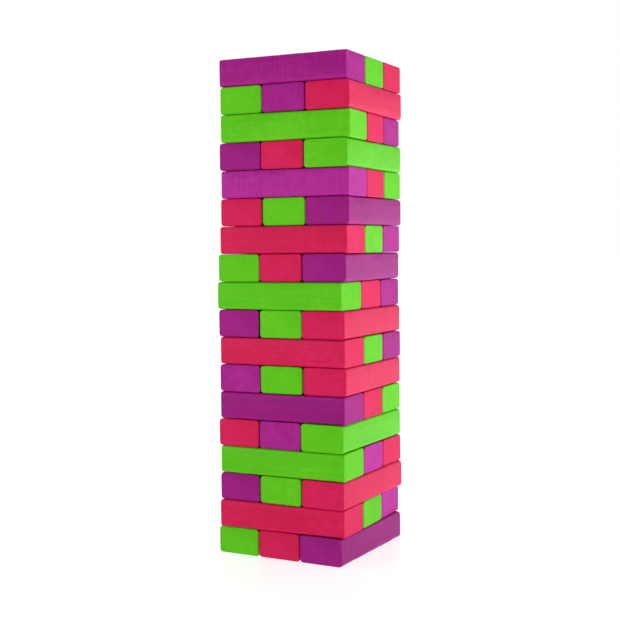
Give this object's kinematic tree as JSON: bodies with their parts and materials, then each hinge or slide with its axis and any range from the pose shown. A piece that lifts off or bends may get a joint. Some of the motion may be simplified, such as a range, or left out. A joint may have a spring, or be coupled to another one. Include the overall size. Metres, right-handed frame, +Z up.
{
  "type": "giant tumbling tower",
  "caption": "Tall free-standing stack of stained wooden blocks, laid side by side in layers that cross at right angles; each block slides out along its length.",
  "frame": {"origin": "on the floor, under the middle of the tower's outer box", "axes": "+Z up the tower; the front faces -Y, where the ends of the odd layers' blocks show, and +X is to the right"},
  "size_m": [0.2066, 0.2006, 0.6852],
  "materials": {
    "green_stain": "satin",
    "purple_stain": "satin",
    "pink_stain": "satin"
  },
  "bodies": {
    "layer_01_left_block": {"layer_01_left_block": "green_stain"},
    "layer_01_middle_block": {"layer_01_middle_block": "pink_stain"},
    "layer_01_right_block": {"layer_01_right_block": "purple_stain"},
    "layer_02_front_block": {"layer_02_front_block": "pink_stain"},
    "layer_02_middle_block": {"layer_02_middle_block": "green_stain"},
    "layer_02_back_block": {"layer_02_back_block": "purple_stain"},
    "layer_03_left_block": {"layer_03_left_block": "purple_stain"},
    "layer_03_middle_block": {"layer_03_middle_block": "green_stain"},
    "layer_03_right_block": {"layer_03_right_block": "pink_stain"},
    "layer_04_front_block": {"layer_04_front_block": "green_stain"},
    "layer_04_middle_block": {"layer_04_middle_block": "purple_stain"},
    "layer_04_back_block": {"layer_04_back_block": "pink_stain"},
    "layer_05_left_block": {"layer_05_left_block": "pink_stain"},
    "layer_05_middle_block": {"layer_05_middle_block": "purple_stain"},
    "layer_05_right_block": {"layer_05_right_block": "green_stain"},
    "layer_06_front_block": {"layer_06_front_block": "purple_stain"},
    "layer_06_middle_block": {"layer_06_middle_block": "pink_stain"},
    "layer_06_back_block": {"layer_06_back_block": "green_stain"},
    "layer_07_left_block": {"layer_07_left_block": "purple_stain"},
    "layer_07_middle_block": {"layer_07_middle_block": "green_stain"},
    "layer_07_right_block": {"layer_07_right_block": "pink_stain"},
    "layer_08_front_block": {"layer_08_front_block": "pink_stain"},
    "layer_08_middle_block": {"layer_08_middle_block": "green_stain"},
    "layer_08_back_block": {"layer_08_back_block": "purple_stain"},
    "layer_09_left_block": {"layer_09_left_block": "purple_stain"},
    "layer_09_middle_block": {"layer_09_middle_block": "green_stain"},
    "layer_09_right_block": {"layer_09_right_block": "pink_stain"},
    "layer_10_front_block": {"layer_10_front_block": "green_stain"},
    "layer_10_middle_block": {"layer_10_middle_block": "pink_stain"},
    "layer_10_back_block": {"layer_10_back_block": "purple_stain"},
    "layer_11_left_block": {"layer_11_left_block": "green_stain"},
    "layer_11_middle_block": {"layer_11_middle_block": "pink_stain"},
    "layer_11_right_block": {"layer_11_right_block": "purple_stain"},
    "layer_12_front_block": {"layer_12_front_block": "pink_stain"},
    "layer_12_middle_block": {"layer_12_middle_block": "green_stain"},
    "layer_12_back_block": {"layer_12_back_block": "purple_stain"},
    "layer_13_left_block": {"layer_13_left_block": "pink_stain"},
    "layer_13_middle_block": {"layer_13_middle_block": "green_stain"},
    "layer_13_right_block": {"layer_13_right_block": "purple_stain"},
    "layer_14_front_block": {"layer_14_front_block": "purple_stain"},
    "layer_14_middle_block": {"layer_14_middle_block": "pink_stain"},
    "layer_14_back_block": {"layer_14_back_block": "green_stain"},
    "layer_15_left_block": {"layer_15_left_block": "purple_stain"},
    "layer_15_middle_block": {"layer_15_middle_block": "pink_stain"},
    "layer_15_right_block": {"layer_15_right_block": "green_stain"},
    "layer_16_front_block": {"layer_16_front_block": "green_stain"},
    "layer_16_middle_block": {"layer_16_middle_block": "pink_stain"},
    "layer_16_back_block": {"layer_16_back_block": "purple_stain"},
    "layer_17_left_block": {"layer_17_left_block": "green_stain"},
    "layer_17_middle_block": {"layer_17_middle_block": "purple_stain"},
    "layer_17_right_block": {"layer_17_right_block": "pink_stain"},
    "layer_18_front_block": {"layer_18_front_block": "purple_stain"},
    "layer_18_middle_block": {"layer_18_middle_block": "green_stain"},
    "layer_18_back_block": {"layer_18_back_block": "pink_stain"}
  },
  "joints": [
    {"name": "slide_layer_01_left_block", "type": "slide", "parent": "layer_01_middle_block", "child": "layer_01_left_block", "axis": [-0.0436, -0.999, 0], "range_m": [-0.2, 0.2]},
    {"name": "slide_layer_01_right_block", "type": "slide", "parent": "layer_01_middle_block", "child": "layer_01_right_block", "axis": [-0.0436, -0.999, 0], "range_m": [-0.2, 0.2]},
    {"name": "slide_layer_02_front_block", "type": "slide", "parent": "layer_01_middle_block", "child": "layer_02_front_block", "axis": [1, 0, 0], "range_m": [-0.2, 0.2]},
    {"name": "slide_layer_02_middle_block", "type": "slide", "parent": "layer_01_middle_block", "child": "layer_02_middle_block", "axis": [1, 0, 0], "range_m": [-0.2, 0.2]},
    {"name": "slide_layer_02_back_block", "type": "slide", "parent": "layer_01_middle_block", "child": "layer_02_back_block", "axis": [1, 0, 0], "range_m": [-0.2, 0.2]},
    {"name": "slide_layer_03_left_block", "type": "slide", "parent": "layer_01_middle_block", "child": "layer_03_left_block", "axis": [-0.0349, -0.9994, 0], "range_m": [-0.2, 0.2]},
    {"name": "slide_layer_03_middle_block", "type": "slide", "parent": "layer_01_middle_block", "child": "layer_03_middle_block", "axis": [-0.0349, -0.9994, 0], "range_m": [-0.2, 0.2]},
    {"name": "slide_layer_03_right_block", "type": "slide", "parent": "layer_01_middle_block", "child": "layer_03_right_block", "axis": [-0.0349, -0.9994, 0], "range_m": [-0.2, 0.2]},
    {"name": "slide_layer_04_front_block", "type": "slide", "parent": "layer_01_middle_block", "child": "layer_04_front_block", "axis": [0.9998, -0.0175, 0], "range_m": [-0.2, 0.2]},
    {"name": "slide_layer_04_middle_block", "type": "slide", "parent": "layer_01_middle_block", "child": "layer_04_middle_block", "axis": [0.9998, -0.0175, 0], "range_m": [-0.2, 0.2]},
    {"name": "slide_layer_04_back_block", "type": "slide", "parent": "layer_01_middle_block", "child": "layer_04_back_block", "axis": [0.9998, -0.0175, 0], "range_m": [-0.2, 0.2]},
    {"name": "slide_layer_05_left_block", "type": "slide", "parent": "layer_01_middle_block", "child": "layer_05_left_block", "axis": [-0.0262, -0.9997, 0], "range_m": [-0.2, 0.2]},
    {"name": "slide_layer_05_middle_block", "type": "slide", "parent": "layer_01_middle_block", "child": "layer_05_middle_block", "axis": [-0.0262, -0.9997, 0], "range_m": [-0.2, 0.2]},
    {"name": "slide_layer_05_right_block", "type": "slide", "parent": "layer_01_middle_block", "child": "layer_05_right_block", "axis": [-0.0262, -0.9997, 0], "range_m": [-0.2, 0.2]},
    {"name": "slide_layer_06_front_block", "type": "slide", "parent": "layer_01_middle_block", "child": "layer_06_front_block", "axis": [1, -0.0087, 0], "range_m": [-0.2, 0.2]},
    {"name": "slide_layer_06_middle_block", "type": "slide", "parent": "layer_01_middle_block", "child": "layer_06_middle_block", "axis": [1, -0.0087, 0], "range_m": [-0.2, 0.2]},
    {"name": "slide_layer_06_back_block", "type": "slide", "parent": "layer_01_middle_block", "child": "layer_06_back_block", "axis": [1, -0.0087, 0], "range_m": [-0.2, 0.2]},
    {"name": "slide_layer_07_left_block", "type": "slide", "parent": "layer_01_middle_block", "child": "layer_07_left_block", "axis": [0, -1, 0], "range_m": [-0.2, 0.2]},
    {"name": "slide_layer_07_middle_block", "type": "slide", "parent": "layer_01_middle_block", "child": "layer_07_middle_block", "axis": [0, -1, 0], "range_m": [-0.2, 0.2]},
    {"name": "slide_layer_07_right_block", "type": "slide", "parent": "layer_01_middle_block", "child": "layer_07_right_block", "axis": [0, -1, 0], "range_m": [-0.2, 0.2]},
    {"name": "slide_layer_08_front_block", "type": "slide", "parent": "layer_01_middle_block", "child": "layer_08_front_block", "axis": [1, -0.0087, 0], "range_m": [-0.2, 0.2]},
    {"name": "slide_layer_08_middle_block", "type": "slide", "parent": "layer_01_middle_block", "child": "layer_08_middle_block", "axis": [1, -0.0087, 0], "range_m": [-0.2, 0.2]},
    {"name": "slide_layer_08_back_block", "type": "slide", "parent": "layer_01_middle_block", "child": "layer_08_back_block", "axis": [1, -0.0087, 0], "range_m": [-0.2, 0.2]},
    {"name": "slide_layer_09_left_block", "type": "slide", "parent": "layer_01_middle_block", "child": "layer_09_left_block", "axis": [-0.0087, -1, 0], "range_m": [-0.2, 0.2]},
    {"name": "slide_layer_09_middle_block", "type": "slide", "parent": "layer_01_middle_block", "child": "layer_09_middle_block", "axis": [-0.0087, -1, 0], "range_m": [-0.2, 0.2]},
    {"name": "slide_layer_09_right_block", "type": "slide", "parent": "layer_01_middle_block", "child": "layer_09_right_block", "axis": [-0.0087, -1, 0], "range_m": [-0.2, 0.2]},
    {"name": "slide_layer_10_front_block", "type": "slide", "parent": "layer_01_middle_block", "child": "layer_10_front_block", "axis": [0.9998, -0.0175, 0], "range_m": [-0.2, 0.2]},
    {"name": "slide_layer_10_middle_block", "type": "slide", "parent": "layer_01_middle_block", "child": "layer_10_middle_block", "axis": [0.9998, -0.0175, 0], "range_m": [-0.2, 0.2]},
    {"name": "slide_layer_10_back_block", "type": "slide", "parent": "layer_01_middle_block", "child": "layer_10_back_block", "axis": [0.9998, -0.0175, 0], "range_m": [-0.2, 0.2]},
    {"name": "slide_layer_11_left_block", "type": "slide", "parent": "layer_01_middle_block", "child": "layer_11_left_block", "axis": [0.0087, -1, 0], "range_m": [-0.2, 0.2]},
    {"name": "slide_layer_11_middle_block", "type": "slide", "parent": "layer_01_middle_block", "child": "layer_11_middle_block", "axis": [0.0087, -1, 0], "range_m": [-0.2, 0.2]},
    {"name": "slide_layer_11_right_block", "type": "slide", "parent": "layer_01_middle_block", "child": "layer_11_right_block", "axis": [0.0087, -1, 0], "range_m": [-0.2, 0.2]},
    {"name": "slide_layer_12_front_block", "type": "slide", "parent": "layer_01_middle_block", "child": "layer_12_front_block", "axis": [0.9998, 0.0175, 0], "range_m": [-0.2, 0.2]},
    {"name": "slide_layer_12_middle_block", "type": "slide", "parent": "layer_01_middle_block", "child": "layer_12_middle_block", "axis": [0.9998, 0.0175, 0], "range_m": [-0.2, 0.2]},
    {"name": "slide_layer_12_back_block", "type": "slide", "parent": "layer_01_middle_block", "child": "layer_12_back_block", "axis": [0.9998, 0.0175, 0], "range_m": [-0.2, 0.2]},
    {"name": "slide_layer_13_left_block", "type": "slide", "parent": "layer_01_middle_block", "child": "layer_13_left_block", "axis": [0.0175, -0.9998, 0], "range_m": [-0.2, 0.2]},
    {"name": "slide_layer_13_middle_block", "type": "slide", "parent": "layer_01_middle_block", "child": "layer_13_middle_block", "axis": [0.0175, -0.9998, 0], "range_m": [-0.2, 0.2]},
    {"name": "slide_layer_13_right_block", "type": "slide", "parent": "layer_01_middle_block", "child": "layer_13_right_block", "axis": [0.0175, -0.9998, 0], "range_m": [-0.2, 0.2]},
    {"name": "slide_layer_14_front_block", "type": "slide", "parent": "layer_01_middle_block", "child": "layer_14_front_block", "axis": [0.9997, 0.0262, 0], "range_m": [-0.2, 0.2]},
    {"name": "slide_layer_14_middle_block", "type": "slide", "parent": "layer_01_middle_block", "child": "layer_14_middle_block", "axis": [0.9997, 0.0262, 0], "range_m": [-0.2, 0.2]},
    {"name": "slide_layer_14_back_block", "type": "slide", "parent": "layer_01_middle_block", "child": "layer_14_back_block", "axis": [0.9997, 0.0262, 0], "range_m": [-0.2, 0.2]},
    {"name": "slide_layer_15_left_block", "type": "slide", "parent": "layer_01_middle_block", "child": "layer_15_left_block", "axis": [0.0087, -1, 0], "range_m": [-0.2, 0.2]},
    {"name": "slide_layer_15_middle_block", "type": "slide", "parent": "layer_01_middle_block", "child": "layer_15_middle_block", "axis": [0.0087, -1, 0], "range_m": [-0.2, 0.2]},
    {"name": "slide_layer_15_right_block", "type": "slide", "parent": "layer_01_middle_block", "child": "layer_15_right_block", "axis": [0.0087, -1, 0], "range_m": [-0.2, 0.2]},
    {"name": "slide_layer_16_front_block", "type": "slide", "parent": "layer_01_middle_block", "child": "layer_16_front_block", "axis": [0.999, 0.0436, 0], "range_m": [-0.2, 0.2]},
    {"name": "slide_layer_16_middle_block", "type": "slide", "parent": "layer_01_middle_block", "child": "layer_16_middle_block", "axis": [0.999, 0.0436, 0], "range_m": [-0.2, 0.2]},
    {"name": "slide_layer_16_back_block", "type": "slide", "parent": "layer_01_middle_block", "child": "layer_16_back_block", "axis": [0.999, 0.0436, 0], "range_m": [-0.2, 0.2]},
    {"name": "slide_layer_17_left_block", "type": "slide", "parent": "layer_01_middle_block", "child": "layer_17_left_block", "axis": [0.0175, -0.9998, 0], "range_m": [-0.2, 0.2]},
    {"name": "slide_layer_17_middle_block", "type": "slide", "parent": "layer_01_middle_block", "child": "layer_17_middle_block", "axis": [0.0175, -0.9998, 0], "range_m": [-0.2, 0.2]},
    {"name": "slide_layer_17_right_block", "type": "slide", "parent": "layer_01_middle_block", "child": "layer_17_right_block", "axis": [0.0175, -0.9998, 0], "range_m": [-0.2, 0.2]},
    {"name": "slide_layer_18_front_block", "type": "slide", "parent": "layer_01_middle_block", "child": "layer_18_front_block", "axis": [1, 0.0087, 0], "range_m": [-0.2, 0.2]},
    {"name": "slide_layer_18_middle_block", "type": "slide", "parent": "layer_01_middle_block", "child": "layer_18_middle_block", "axis": [1, 0.0087, 0], "range_m": [-0.2, 0.2]},
    {"name": "slide_layer_18_back_block", "type": "slide", "parent": "layer_01_middle_block", "child": "layer_18_back_block", "axis": [1, 0.0087, 0], "range_m": [-0.2, 0.2]}
  ]
}
